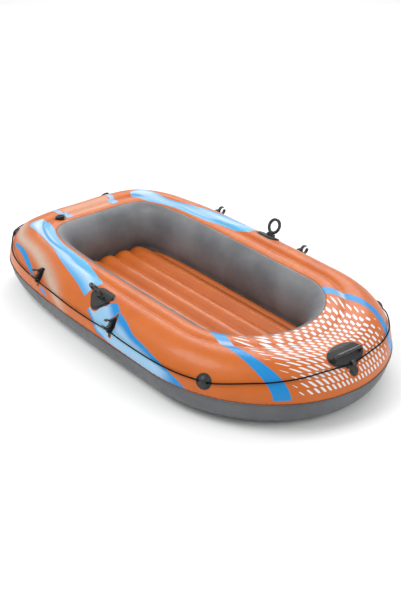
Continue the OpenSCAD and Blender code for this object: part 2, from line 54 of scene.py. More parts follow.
STERN_FULLNESS, BOW_FULLNESS = 4.4, 2.0
REACH = 0.125
SIDE_DECK, STERN_DECK, BOW_DECK = 0.222, 0.222, 0.315
COCKPIT_STERN_FULLNESS, COCKPIT_BOW_FULLNESS = 6.3, 1.9
CREASE_SHARE = 0.7
CREASE_Z = HULL_H - 0.012
COAMING_Z = HULL_H - 0.011
COAMING_RISE = 0.007
WALL_SWELL = 0.071
KEEL_RISE = 0.008
FLOOR_INSET = 0.050
FLOOR_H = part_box("floor_top_sheet")[1].z
RIB_DIP = 0.025
RIBS = 5
FLOOR_EDGE_Z, FLOOR_FOOT_Z = 0.030, 0.0016
FLOOR_END_ROUND = 0.060
FLOOR_GATHER_PITCH = 0.024
WELD_W = 0.006
FILM = 0.001

# Angles round the tube's section from its crest, inboard to the crease and outboard to the side weld
CREASE_K = math.acos(2 * CREASE_Z / HULL_H - 1)
SEAM_K = math.acos(2 * SEAM_Z / HULL_H - 1)
# Widths of film up the tube's side, over its top and over the coaming: the ruler the prints are laid out by
TUBE_ARC = 0.215
TUBE_TOP = 0.034
COAMING_ARC = 0.067


# ---- Plan outlines and sections, by plan angle t and widths w in from the edge ----
def superellipse(t, aft, fore, half, aft_n, fore_n):
    c, s = np.cos(t), np.sin(t)
    n = np.where(c > 0, fore_n, aft_n)
    reach = np.where(c > 0, fore - BEAM_X, BEAM_X - aft)
    r = (np.abs(c) ** n + np.abs(s) ** n) ** (-1 / n)
    return BEAM_X + reach * r * c, half * r * s


def outer_edge(t):
    return superellipse(t, STERN, BOW, HALF_W, STERN_FULLNESS, BOW_FULLNESS)


def cockpit_edge(t):
    return superellipse(t, STERN + STERN_DECK, BOW - BOW_DECK, HALF_W - SIDE_DECK,
                        COCKPIT_STERN_FULLNESS, COCKPIT_BOW_FULLNESS)


def deck_span(t):
    c = np.cos(t)
    return SIDE_DECK + c * c * (np.where(c > 0, BOW_DECK, STERN_DECK) - SIDE_DECK)


def hull_point(t, w, z):
    share = w / deck_span(t)
    ox, oy = outer_edge(t)
    cx, cy = cockpit_edge(t)
    return np.stack([ox + (cx - ox) * share, oy + (cy - oy) * share, z + 0 * t], -1)


def top_point(t, u):
    """Point of the top film: u is 0 at the side weld, 1 at the crest, 2 at the crease, 3 at the cockpit."""
    k = np.where(u < 1, SEAM_K * (1 - u), -CREASE_K * (u - 1))
    crease = CREASE_SHARE * deck_span(t)
    inboard = REACH + (crease - REACH) * np.sin(-k) / math.sin(CREASE_K)
    w = np.where(k >= 0, REACH * (1 - np.sin(k)), inboard)
    z = HULL_H / 2 * (1 + np.cos(k))
    s = np.clip(u - 2, 0, 1)
    w = np.where(u > 2, crease + s * (deck_span(t) - crease), w)
    z = np.where(u > 2, CREASE_Z + s * (COAMING_Z - CREASE_Z) + COAMING_RISE * np.sin(np.pi * s), z)
    return hull_point(t, w, z)


def film_height(u):
    """Distance across the film from the side weld, in metres."""
    return TUBE_ARC * np.clip(u, 0, 1) + TUBE_TOP * np.clip(u - 1, 0, 1) + COAMING_ARC * np.clip(u - 2, 0, 1)


def distances(path):
    """Distance along a path from its start to each of its points."""
    return np.concatenate([[0], np.cumsum(np.linalg.norm(np.diff(path, axis=0), axis=1))])


TABLE_T = np.radians(np.linspace(0, 180, 721))
TABLE_A = distances(top_point(TABLE_T, np.ones(len(TABLE_T))))


def along(t):
    """Distance along the crest from the bow, the same to port and starboard, in metres."""
    return np.interp(np.abs(t), TABLE_T, TABLE_A)


# ---- Small tools ----
def smooth(x, low, high):
    f = np.clip((x - low) / (high - low), 0, 1)
    return f * f * (3 - 2 * f)


def curve_through(points, steps=8, closed=False):
    """A Catmull-Rom curve through points."""
    p = np.array(points, float)
    n = len(p)
    out = []
    for i in range(n if closed else n - 1):
        ids = [(i + d) % n if closed else min(max(i + d, 0), n - 1) for d in (-1, 0, 1, 2)]
        a, b, c, d = p[ids]
        for f in np.arange(steps) / steps:
            out.append((2 * b + (c - a) * f + (2 * a - 5 * b + 4 * c - d) * f ** 2
                        + (3 * b - a - 3 * c + d) * f ** 3) / 2)
    if not closed:
        out.append(p[-1])
    return np.array(out)


def distance_to(points, line, closed=False):
    """Distance of every point from a line, in plan or on the film."""
    starts, ends = (line, np.roll(line, -1, 0)) if closed else (line[:-1], line[1:])
    best = np.full(len(points), 9.0)
    for a, b in zip(starts, ends):
        way = b - a
        f = np.clip((points - a) @ way / max(way @ way, 1e-12), 0, 1)
        best = np.minimum(best, np.linalg.norm(points - a - f[:, None] * way, axis=1))
    return best


def inside_distance(points, outline):
    """Signed distance from a closed outline, positive inside."""
    x, y = points.T
    inside = np.zeros(len(points), bool)
    for a, b in zip(outline, np.roll(outline, -1, 0)):
        crosses = (a[1] > y) != (b[1] > y)
        rise = b[1] - a[1] if b[1] != a[1] else 1e-9
        inside ^= crosses & (x < a[0] + (y - a[1]) * (b[0] - a[0]) / rise)
    return np.where(inside, 1, -1) * distance_to(points, outline, closed=True)


def mesh_object(name, verts, faces, material):
    mesh = bpy.data.meshes.new(name)
    mesh.from_pydata([tuple(v) for v in verts], [], [tuple(int(i) for i in f) for f in faces])
    mesh.validate()
    mesh.shade_smooth()
    mesh.materials.append(material)
    made = bpy.data.objects.new(name, mesh)
    bpy.context.collection.objects.link(made)
    return made


def grid_faces(rows, columns, wrap=False):
    """Quads of a grid of points whose rows follow each other, the last row to the first if wrapped."""
    i, j = np.meshgrid(np.arange(rows if wrap else rows - 1), np.arange(columns - 1), indexing="ij")
    a = i * columns + j
    b = (i + 1) % rows * columns + j
    return np.stack([a, a + 1, b + 1, b], -1).reshape(-1, 4)


def thicken(made):
    """Gives a film its thickness, inward from the modelled face."""
    modifier = made.modifiers.new("film", "SOLIDIFY")
    modifier.thickness = FILM
    modifier.offset = -1
    with bpy.context.temp_override(object=made, active_object=made):
        bpy.ops.object.modifier_apply(modifier=modifier.name)


def recalculate(made):
    """Turns every face outward."""
    mesh = bmesh.new()
    mesh.from_mesh(made.data)
    bmesh.ops.recalc_face_normals(mesh, faces=mesh.faces)
    mesh.to_mesh(made.data)
    mesh.free()


def attribute(made, name, values):
    layer = made.data.attributes.new(name, "FLOAT", "POINT")
    layer.data.foreach_set("value", np.asarray(values, np.float32))


def place(made, slot, *nodes):
    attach(made, "root")
    if nodes:
        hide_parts(*nodes)
    return made


# ---- Materials ----
class Nodes:
    """Short calls for a material's node tree."""

    def __init__(self, name, roughness, coat=0.0, specular=0.5):
        self.material = bpy.data.materials.new(name)
        self.material.use_nodes = True
        self.tree = self.material.node_tree
        self.shader = self.tree.nodes["Principled BSDF"]
        self.shader.inputs["Roughness"].default_value = roughness
        self.shader.inputs["Coat Weight"].default_value = coat
        self.shader.inputs["Coat Roughness"].default_value = 0.12
        self.shader.inputs["Specular IOR Level"].default_value = specular

    def add(self, kind, **settings):
        node = self.tree.nodes.new(kind)
        for key, value in settings.items():
            setattr(node, key, value)
        return node

    def feed(self, socket, value):
        if isinstance(value, bpy.types.NodeSocket):
            self.tree.links.new(value, socket)
        else:
            socket.default_value = value

    def place(self):
        return self.add("ShaderNodeTexCoord").outputs["Object"]

    def value(self, name):
        return self.add("ShaderNodeAttribute", attribute_name=name).outputs["Fac"]

    def math(self, operation, a, b=0.0, c=0.0):
        node = self.add("ShaderNodeMath", operation=operation)
        for socket, value in zip(node.inputs, (a, b, c)):
            self.feed(socket, value)
        return node.outputs[0]

    def ramp(self, value, low, high, start=0.0, end=1.0):
        node = self.add("ShaderNodeMapRange", interpolation_type="SMOOTHSTEP")
        for socket, item in zip(node.inputs, (value, low, high, start, end)):
            self.feed(socket, item)
        return node.outputs[0]

    def off_centre(self, value):
        """Distance from the middle of a cell that repeats at every whole number, 0 to 0.5."""
        return self.math("ABSOLUTE", self.math("SUBTRACT", self.math("FRACT", value), 0.5))

    def mix(self, share, a, b):
        node = self.add("ShaderNodeMix", data_type="RGBA")
        for key, value in ((0, share), (6, a), (7, b)):
            self.feed(node.inputs[key], value)
        return node.outputs[2]

    def noise(self, scale, detail=2.0, stretch=None):
        node = self.add("ShaderNodeTexNoise")
        node.inputs["Scale"].default_value = scale
        node.inputs["Detail"].default_value = detail
        vector = self.place()
        if stretch:
            mapping = self.add("ShaderNodeMapping")
            self.feed(mapping.inputs["Vector"], vector)
            mapping.inputs["Scale"].default_value = stretch
            vector = mapping.outputs[0]
        self.feed(node.inputs["Vector"], vector)
        return node.outputs["Fac"]

    def bump(self, height, depth, under=None):
        node = self.add("ShaderNodeBump")
        node.inputs["Distance"].default_value = depth
        self.feed(node.inputs["Height"], height)
        if under:
            self.feed(node.inputs["Normal"], under)
        return node.outputs[0]

    def done(self, colour, roughness=None, normal=None):
        self.feed(self.shader.inputs["Base Color"], colour)
        if roughness:
            self.feed(self.shader.inputs["Roughness"], roughness)
        if normal:
            self.feed(self.shader.inputs["Normal"], normal)
        return self.material


def colour(red, green, blue):
    """A linear colour from 0-255 display values."""
    def linear(v):
        v /= 255
        return v / 12.92 if v <= 0.04045 else ((v + 0.055) / 1.055) ** 2.4
    return (linear(red), linear(green), linear(blue), 1.0)


ORANGE = colour(186, 94, 26)
ORANGE_DEEP = colour(178, 86, 22)
BLUE = colour(2, 124, 188)
SKY = colour(84, 160, 202)
WHITE = colour(206, 214, 218)
HAZE = colour(180, 162, 146)
PALE = colour(214, 190, 168)
GREY_LIGHT = colour(116, 118, 121)
GREY = colour(92, 94, 97)
GREY_DEEP = colour(78, 80, 83)
BLACK = colour(20, 20, 22)
# Greyer black, painted on the mouldings' raised edges as a highlight
BLACK_EDGE_HIGHLIGHT = colour(52, 52, 55)


def vinyl_grain(n):
    """Fine calendered grain over slow waves in the film."""
    waves = n.bump(n.noise(9, 2), 0.0025)
    return n.bump(n.noise(900, 1), 0.00025, waves)


def dash_mask(n):
    """Dashes in staggered rows, which swell and fade with the strength of their field."""
    row = n.math("DIVIDE", n.value("rows"), DASH_ROW)
    shift = n.math("MULTIPLY", n.math("FLOOR", row), DASH_STAGGER)
    column = n.math("ADD", n.math("DIVIDE", n.value("fan"), DASH_COLUMN), shift)
    strength = n.value("dashes")
    half_w = n.math("MULTIPLY", strength, DASH_HALF_W)
    half_l = n.math("MULTIPLY", n.math("SQRT", strength), DASH_HALF_L)
    slim = n.math("DIVIDE", n.off_centre(column), n.math("MAXIMUM", half_w, 0.001))
    reach = n.math("DIVIDE", n.off_centre(row), n.math("MAXIMUM", half_l, 0.001))
    lens = n.math("ADD", n.math("POWER", slim, 2.5), n.math("POWER", reach, 8.0))
    return n.math("MULTIPLY", n.ramp(lens, 0.85, 1.1, 1.0, 0.0), n.ramp(strength, 0.12, 0.2))


def dot_mask(n):
    """The stern panel's pale dots over a faint wash."""
    row = n.off_centre(n.math("DIVIDE", n.value("height"), DOT_ROW))
    column = n.off_centre(n.math("DIVIDE", n.value("side"), DOT_COLUMN))
    spot = n.math("MULTIPLY", n.ramp(row, 0.28, 0.36, 1.0, 0.0), n.ramp(column, 0.20, 0.28, 1.0, 0.0))
    return n.math("MULTIPLY", n.value("dots"), n.math("MULTIPLY_ADD", spot, 0.75, 0.12))


def printed_vinyl():
    """Orange film with its prints, which leave a plain rim round the fittings that stand on it."""
    n = Nodes("printed_vinyl", 0.4, coat=0.10, specular=0.32)
    base = n.mix(n.ramp(n.noise(6, 4), 0.35, 0.7), ORANGE, ORANGE_DEEP)
    haze = n.math("MULTIPLY", n.value("haze"), n.ramp(n.noise(60, 2), 0.2, 0.6, 0.85, 1.0))
    base = n.mix(haze, base, HAZE)
    free = n.ramp(n.value("clear"), 0.0055, 0.0065)
    base = n.mix(n.math("MULTIPLY", dash_mask(n), free), base, WHITE)
    base = n.mix(dot_mask(n), base, PALE)
    printed = n.math("MULTIPLY", n.ramp(n.value("band"), -0.0004, 0.0004), free)
    band = n.mix(n.value("sky"), n.mix(n.value("blue"), WHITE, BLUE), SKY)
    base = n.mix(printed, base, band)
    rough = n.ramp(n.noise(40, 3), 0.3, 0.7, 0.33, 0.44)
    return n.done(base, rough, vinyl_grain(n))


def grey_vinyl(name, light, deep):
    n = Nodes(name, 0.46, coat=0.05, specular=0.4)
    base = n.mix(n.ramp(n.noise(5, 4), 0.3, 0.7), light, deep)
    return n.done(base, n.ramp(n.noise(45, 3), 0.3, 0.7, 0.42, 0.54), vinyl_grain(n))


def floor_vinyl():
    n = Nodes("floor_vinyl", 0.4, coat=0.12)
    base = n.mix(n.ramp(n.noise(7, 4), 0.3, 0.7), ORANGE, ORANGE_DEEP)
    pulled = n.bump(n.noise(30, 2, stretch=(0.35, 2.2, 1)), 0.0004)
    grain = n.bump(n.noise(900, 1), 0.00012, pulled)
    return n.done(base, n.ramp(n.noise(40, 3), 0.3, 0.7, 0.36, 0.46), grain)


def moulded(name, roughness, grain, coat=0.0):
    """Black moulding: fine spark grain, and a greyer tone painted in patches on its raised edges as a
    highlight.
    """
    n = Nodes(name, roughness, coat=coat)
    # Painted highlight: raised edges, found by pointiness, turn greyer in noisy patches
    highlight_edges = n.ramp(n.add("ShaderNodeNewGeometry").outputs["Pointiness"], 0.52, 0.62)
    painted_edge_highlight = n.math("MULTIPLY", highlight_edges, n.ramp(n.noise(55, 4), 0.35, 0.7, 0.25, 1.0))
    rough = n.ramp(n.noise(140, 3), 0.3, 0.7, roughness - 0.06, roughness + 0.08)
    return n.done(n.mix(painted_edge_highlight, BLACK, BLACK_EDGE_HIGHLIGHT), rough, n.bump(n.noise(grain, 2), 0.0003))


def soft_disc():
    n = Nodes("flap_rubber", 0.5)
    return n.done(n.mix(n.noise(200, 2), colour(120, 122, 124), colour(150, 152, 154)), None,
                  n.bump(n.noise(500, 1), 0.0002))


def braided_cord():
    n = Nodes("braided_cord", 0.7, specular=0.12)
    fibre = n.noise(1400, 2)
    base = n.mix(n.ramp(fibre, 0.4, 0.75), colour(3, 3, 3), colour(13, 13, 14))
    return n.done(base, None, n.bump(fibre, 0.0003))


# ---- Grab rope, at the CAD route ----
STARBOARD_ROUTE = [
    (-0.978, -0.014, 0.201), (-0.975, -0.100, 0.205), (-0.967, -0.190, 0.213), (-0.948, -0.271, 0.223),
    (-0.913, -0.342, 0.230), (-0.861, -0.397, 0.230), (-0.826, -0.425, 0.218), (-0.772, -0.459, 0.204),
    (-0.690, -0.488, 0.196), (-0.590, -0.508, 0.193), (-0.481, -0.524, 0.197), (-0.440, -0.528, 0.197),
    (-0.330, -0.531, 0.192), (-0.190, -0.538, 0.189), (-0.040, -0.540, 0.190), (0.084, -0.541, 0.197),
    (0.124, -0.541, 0.197), (0.200, -0.540, 0.192), (0.310, -0.540, 0.192), (0.420, -0.537, 0.194),
    (0.530, -0.521, 0.195), (0.619, -0.492, 0.195), (0.665, -0.472, 0.195), (0.720, -0.438, 0.205),
    (0.790, -0.377, 0.217), (0.848, -0.313, 0.224), (0.903, -0.218, 0.233), (0.935, -0.115, 0.241),
    (0.955, -0.020, 0.243),
]
ROPE_R = 0.003
ROPE_SIDES = 12
ROPE_STEP = 0.0025
STRANDS = 4
BRAID_PITCH = 0.016
KNOT = (-0.978, 0.0, 0.201)
KNOT_TURNS, KNOT_HALF = 3.5, 0.0115
KNOT_COIL_R, KNOT_CORD_R = 0.0038, 0.0029


def swept(path, radius, sides, lift=None):
    """A closed tube along a path, raised by lift(angle, distance): its points, its faces and its length."""
    way = np.gradient(path, axis=0)
    way /= np.linalg.norm(way, axis=1)[:, None]
    across = np.cross(way, (0, 0, 1))
    across /= np.linalg.norm(across, axis=1)[:, None]
    upward = np.cross(across, way)
    far = distances(path)
    angle = np.arange(sides) * 2 * math.pi / sides
    grow = 1 + (lift(angle[None, :], far[:, None]) if lift else 0 * far[:, None])
    rings = path[:, None] + radius * grow[..., None] * (
        across[:, None] * np.cos(angle)[None, :, None] + upward[:, None] * np.sin(angle)[None, :, None])
    n = len(path)
    i, j = np.meshgrid(np.arange(n - 1), np.arange(sides), indexing="ij")
    a, b = i * sides + j, i * sides + (j + 1) % sides
    faces = [tuple(f) for f in np.stack([a, b, b + sides, a + sides], -1).reshape(-1, 4)]
    faces += [tuple(range(sides))[::-1], tuple(range((n - 1) * sides, n * sides))]
    return rings.reshape(-1, 3), faces, far[-1]


def braid(angle, far):
    turn = 2 * math.pi * far / BRAID_PITCH
    return 0.07 * np.cos(STRANDS * angle + turn) * np.cos(STRANDS * angle - turn)


def resampled(path, step):
    far = distances(path)
    spots = np.linspace(0, far[-1], int(far[-1] / step) + 1)
    return np.stack([np.interp(spots, far, path[:, k]) for k in range(3)], -1)


def grab_rope(material):
    port = [(x, -y, z) for x, y, z in reversed(STARBOARD_ROUTE)]
    path = resampled(curve_through(STARBOARD_ROUTE + port, 12), ROPE_STEP)
    verts, faces, length = swept(path, ROPE_R, ROPE_SIDES, braid)
    rope = mesh_object("grab_rope_braid", verts, faces, material)
    place(rope, "rope", "grab_rope")
    return rope


def rope_knot(material):
    """A barrel knot: the tail wound round the two ends where they meet."""
    f = np.linspace(0, 1, 180)
    angle = 2 * math.pi * KNOT_TURNS * f
    path = np.stack([KNOT[0] + KNOT_COIL_R * np.cos(angle), KNOT[1] + KNOT_HALF * (2 * f - 1),
                     KNOT[2] + KNOT_COIL_R * np.sin(angle)], -1)
    verts, faces, _ = swept(path, KNOT_CORD_R, 10)
    return place(mesh_object("stern_knot", verts, faces, material), "rope", "rope_knot")


# ---- Prints, laid out on the film: plan angle in degrees and metres up from the side weld ----
DASH_ROW, DASH_COLUMN, DASH_STAGGER = 0.0290, 0.0300, 0.5
DASH_HALF_W, DASH_HALF_L = 0.22, 0.42
# The dashes point at FAN_X on the middle line, keep their pitch at FAN_AT, and lean on the tube's side
FAN_X, FAN_AT, DASH_LEAN = 1.3, 0.8, 0.7
DASH_EDGE = [(.50, .262), (.58, .295), (.68, .307), (.78, .300), (.93, .255)]
DOT_ROW, DOT_COLUMN = 0.0100, 0.0125
SWOOSH_OUTER = [(148, .215), (142, .183), (137, .217), (133, .235), (128, .225), (123, .194), (119, .172),
                (115, .150), (111, .118)]
SWOOSH_INNER = [(112, .222), (115, .249), (119.5, .276), (122, .289), (126, .296), (130, .297), (134, .304),
                (140, .305), (147, .262)]
SWOOSH_DIVIDE = [(147, .235), (139, .259), (132, .262), (129, .266), (125, .268), (119, .240)]
WEDGE_LEFT = [(109, .082), (107.5, .065), (106, .039), (105, .020), (102, .009), (96, .006), (84, .005),
              (71, .005)]
WEDGE_RIGHT = [(76, .032), (82, .054), (89, .071), (93, .086), (96, .097), (99, .125), (102, .146),
               (104.5, .175)]
STREAK = [(136.5, .090), (134, .113), (131, .118), (128.5, .108), (126, .086), (124.5, .060), (126, .064),
          (129, .086), (132, .096)]
STREAK_END = [(122, .040), (120.5, .036), (119.5, .020), (121, .022)]
HAZE_LINE = [(142, .140), (137, .133), (129, .145), (123, .115), (119, .075), (116.5, .035), (114, .0)]
CHEVRONS = [[(163, .175), (160, .175), (158, .232), (161, .236)],
            [(164, .236), (158.5, .236), (156.5, .292), (159, .296), (161.5, .296)]]
BOW_BAND = [(.490, .262), (.580, .295), (.680, .307), (.780, .300), (.910, .262),
            (.885, .315), (.780, .340), (.680, .345), (.580, .337), (.470, .310)]
BOW_BAND_FOOT = 0.022
FITTINGS = ("rowlock_base", "oar_clasp", "rope_holder", "bow_handle_patch")


def on_film(spots):
    """Plan angles and heights as metres along and up the film."""
    spots = np.array(spots)
    return np.stack([along(np.radians(spots[:, 0])), spots[:, 1]], -1)


def fitting_clearance(points):
    """Distance outside the nearest moulded fitting that stands on the printed film."""
    best = np.full(len(points), 9.0)
    for made in [node for name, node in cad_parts.items() if name.startswith(FITTINGS)]:
        co = np.array([v.co for v in made.data.vertices])
        low, high = co.min(0) - 0.02, co.max(0) + 0.02
        near = np.where(np.all((points > low) & (points < high), axis=1))[0]
        for chunk in np.array_split(near, max(1, len(near) // 400)):
            gaps = np.linalg.norm(points[chunk][:, None] - co[None], axis=2).min(1)
            best[chunk] = np.minimum(best[chunk], gaps)
    return best


def share_between(film, start, end):
    """0 on the start line, 1 on the end line."""
    near = distance_to(film, start)
    return near / (near + distance_to(film, end) + 1e-6)


def swoosh(film, degrees):
    """Each band gives its signed distance, how blue it is on white, and how far it turns to sky blue."""
    outer, inner = curve_through(on_film(SWOOSH_OUTER)), curve_through(on_film(SWOOSH_INNER))
    share = share_between(film, outer, inner)
    tip = smooth(-degrees, -134, -113)
    divide = distance_to(film, curve_through(on_film(SWOOSH_DIVIDE)))
    blue = np.maximum.reduce([(1 - smooth(share, 0.02, 0.26 + 0.3 * tip)) * (0.7 + 0.3 * tip),
                              0.95 * (1 - smooth(divide, 0.001, 0.011)),
                              smooth(degrees, 141, 149) * (0.35 + 0.5 * (share > 0.45))])
    sky = 0.5 * smooth(share, 0.55, 0.75) + 0.40 + 0.15 * smooth(-degrees, -140, -120)
    return inside_distance(film, np.vstack([outer, inner])), blue, sky


def wedge(film, degrees):
    left, right = curve_through(on_film(WEDGE_LEFT)), curve_through(on_film(WEDGE_RIGHT))
    share = share_between(film, right, left)
    blue = np.maximum.reduce([1 - smooth(share, 0.16, 0.5), smooth(-degrees, -92, -76),
                              smooth(share, 0.86, 0.95) * smooth(degrees, 98, 104)])
    return inside_distance(film, np.vstack([left, right])), blue, 0.72 * (1 - blue)


def streaks(film):
    outlines = [curve_through(on_film(spots), 6, True) for spots in (STREAK, STREAK_END)]
    return np.maximum.reduce([inside_distance(film, outline) for outline in outlines]), 1, 0


def chevrons(film):
    return np.maximum.reduce([inside_distance(film, on_film(spots)) for spots in CHEVRONS]), 0.45, 0.5


def bow_band(x, y, u, height):
    """Laid out in plan; its white stretch lies over the crease."""
    outline = np.vstack([curve_through(BOW_BAND[:5]), curve_through(BOW_BAND[5:])])
    inside = inside_distance(np.stack([x, y], -1), outline)
    white = 0.6 * np.exp(-((u - 2.12) / 0.16) ** 2)
    return np.where(height > BOW_BAND_FOOT, inside, -np.abs(inside)), 1 - white, 0.25 * (u > 2.3)


def haze_band(film, degrees):
    """Soft pale band beside the swoosh, sharper on its lower side."""
    line = curve_through(on_film(HAZE_LINE))
    centre = np.interp(-film[:, 0], -line[:, 0], line[:, 1])
    wide = np.where(film[:, 1] > centre, 0.034, 0.020)
    return 0.9 * np.exp(-(distance_to(film, line) / wide) ** 2) * smooth(degrees, 112, 118)


def dash_strength(x, y, u, height):
    """Dashes fade towards the bow bands and the aft end of their field."""
    edge = np.interp(x, *zip(*DASH_EDGE))
    strength = smooth(edge - y, 0.0, 0.09) ** 0.7 * smooth(x, 0.50, 0.58)
    return strength * ((height > 0.030) & (u < 2.94))


def print_fields(t, u, points):
    """The values that the printed film's material reads, one set per point."""
    height = film_height(u)
    degrees = np.degrees(np.abs(t))
    film = np.stack([along(t), height], -1)
    x, side = points[:, 0], points[:, 1]
    y = np.abs(side)
    bands = [swoosh(film, degrees), wedge(film, degrees), streaks(film), bow_band(x, y, u, height),
             chevrons(film)]
    inside, blue, sky = [[field + 0 * u for field in fields] for fields in zip(*bands)]
    which = np.argmax(inside, 0)
    inboard = np.linalg.norm(points[:, :2] - np.stack(outer_edge(t), -1), axis=1)
    fan = side * (FAN_X - FAN_AT) / (FAN_X - np.minimum(x, 1.0))
    dots = 0.9 * smooth(degrees, 161, 164) * smooth(height, 0.180, 0.205) * smooth(-height, -0.300, -0.285)
    return {"band": np.maximum.reduce(inside),
            "blue": np.choose(which, blue),
            "sky": np.clip(np.choose(which, sky), 0, 1),
            "haze": haze_band(film, degrees),
            "clear": fitting_clearance(points),
            "height": height,
            "side": side,
            "fan": fan + DASH_LEAN * np.minimum(height, TUBE_ARC),
            "rows": np.where(u < 1, height, TUBE_ARC - REACH + inboard),
            "dashes": dash_strength(x, y, u, height),
            "dots": dots}


# ---- Films ----
AROUND = 640
TUBE_PITCH, CREASE_PITCH, WALL_PITCH = 0.021, 0.034, 0.026
WALL_END = math.radians(125)
WALL_FOOT_Z = (0.046, 0.002)
WALL_WELDS, WALL_WELD_W = ((0.030, 1.0), (0.055, 0.7)), 0.004
PLAN = np.radians((np.arange(AROUND) * 360 / AROUND + 180) % 360 - 180)


def pucker(distance, spot, pitch, depth, reach):
    """Small gathers that a weld pulls into the film, fading away from it."""
    wave = np.abs(np.sin(math.pi * spot / pitch + 0.8 * np.sin(spot * 7))) ** 0.7
    return -depth * (1 - wave) * np.exp(-distance / reach)


def normals(points):
    """Unit normals of a wrapped grid of points."""
    ahead = np.roll(points, -1, 0) - np.roll(points, 1, 0)
    up = np.gradient(points, axis=1)
    n = np.cross(ahead, up)
    return n / np.maximum(np.linalg.norm(n, axis=2), 1e-9)[..., None]


def top_film(material):
    levels = np.concatenate([np.linspace(0, 1, 30)[:-1], np.linspace(1, 2, 13)[:-1], np.linspace(2, 3, 16)])
    t, u = np.meshgrid(PLAN, levels, indexing="ij")
    points = top_point(t, u)
    reach = along(t)
    height = film_height(u)
    crease = TUBE_ARC + TUBE_TOP
    shift = pucker(height, reach, TUBE_PITCH, 0.0022, 0.011)
    shift += pucker(np.abs(height - crease), reach, CREASE_PITCH, 0.0016, 0.010)
    shift += pucker(crease + COAMING_ARC - height, reach, WALL_PITCH, 0.0010, 0.008)
    shift += 0.0006 * np.sin(reach * 23 + 5 * np.sin(reach * 3)) * np.sin(height * 30)
    out = normals(points)
    flat = (points + shift[..., None] * out).reshape(-1, 3)
    faces = grid_faces(AROUND, len(levels), wrap=True)
    made = mesh_object("printed_top_film", flat, faces, material)
    for name, values in print_fields(t.ravel(), u.ravel(), points.reshape(-1, 3)).items():
        attribute(made, name, values)
    thicken(made)
    return place(made, "top_film", "hull_top_skin")


def section_film(name, lines, material, slot, node, shift):
    """A film swept round the hull from one line of (w, z) pairs per station."""
    w, z = lines[..., 0], lines[..., 1]
    t = np.broadcast_to(PLAN[:, None], w.shape)
    points = hull_point(t, w, z)
    points = points + shift[..., None] * normals(points)
    made = mesh_object(name, points.reshape(-1, 3), grid_faces(AROUND, w.shape[1], wrap=True), material)
    thicken(made)
    return place(made, slot, node)


def bottom_film(material):
    k = np.linspace(SEAM_K, math.pi, 22)
    shares = np.linspace(0, 1, 12)[1:]
    t = PLAN[:, None]
    crease = CREASE_SHARE * deck_span(t)
    tube = np.stack([REACH * (1 - np.sin(k)) + 0 * t, HULL_H / 2 * (1 + np.cos(k)) + 0 * t], -1)
    run = np.linspace(0, 1, 6)[1:]
    flat_w = REACH + (crease - REACH) * run
    flat = np.stack([flat_w, KEEL_RISE * run ** 2 + 0 * flat_w], -1)
    keel_w = crease + shares * (deck_span(t) + FLOOR_INSET - crease)
    keel_z = KEEL_RISE * (1 - np.sin(np.minimum(math.pi / 2, math.pi * shares)))
    keel = np.stack([keel_w, keel_z + 0 * keel_w], -1)
    lines = np.concatenate([tube, flat, keel], 1)
    far_off = np.full(lines.shape[1] - len(k), 1.0)
    arc = np.concatenate([distances(tube[0]), far_off])
    shift = pucker(arc[None, :], along(PLAN)[:, None], TUBE_PITCH, 0.0022, 0.011)
    return section_film("grey_bottom_film", lines, material, "grey_film", "hull_bottom_skin", shift)


def wall_film(material):
    """The cockpit wall, with the double weld that joins its ends at the stern."""
    rise = HULL_H / 2 - KEEL_RISE
    top = math.acos((COAMING_Z - HULL_H / 2) / rise)
    swell = WALL_SWELL / (1 - math.sin(top))
    a = np.linspace(top, WALL_END, 30)
    t = PLAN[:, None]
    w = deck_span(t) + swell * (np.sin(a) - math.sin(top))
    z = HULL_H / 2 + rise * np.cos(a) + 0 * t
    foot_w = deck_span(t) + FLOOR_INSET + np.zeros((1, 2))
    foot_z = np.array([WALL_FOOT_Z]) + 0 * t
    lines = np.stack([np.concatenate([w, foot_w], 1), np.concatenate([z, foot_z], 1)], -1)
    shift = pucker(distances(lines[0])[None, :], along(PLAN)[:, None], WALL_PITCH, 0.0012, 0.010)
    y = outer_edge(PLAN)[1][:, None]
    aft = np.cos(PLAN)[:, None] < 0
    weld = sum(strength * np.exp(-((y - at) / WALL_WELD_W) ** 2) for at, strength in WALL_WELDS)
    shift = shift - 0.0014 * weld * aft
    return section_film("cockpit_wall_film", lines, material, "grey_film", "cockpit_wall", shift)


def weld_flange(material):
    """The welded lip where the top and bottom films meet, all round the side."""
    loop = [(0.0015, 0.0022), (-0.0035, 0.0014), (-0.0045, 0.0), (-0.0035, -0.0014), (0.0015, -0.0022)]
    t, j = np.meshgrid(PLAN, np.arange(len(loop)), indexing="ij")
    w, z = np.array(loop)[j].transpose(2, 0, 1)
    wave = 0.0009 * np.sin(2 * math.pi * along(t) / TUBE_PITCH)
    points = hull_point(t, w, SEAM_Z + z + wave)
    n = len(loop)
    a, b = np.meshgrid(np.arange(AROUND), np.arange(n), indexing="ij")
    ahead, beside = (a + 1) % AROUND, (b + 1) % n
    faces = np.stack([a * n + b, a * n + beside, ahead * n + beside, ahead * n + b], -1).reshape(-1, 4)
    return place(mesh_object("side_weld_lip", points.reshape(-1, 3), faces, material), "grey_film")


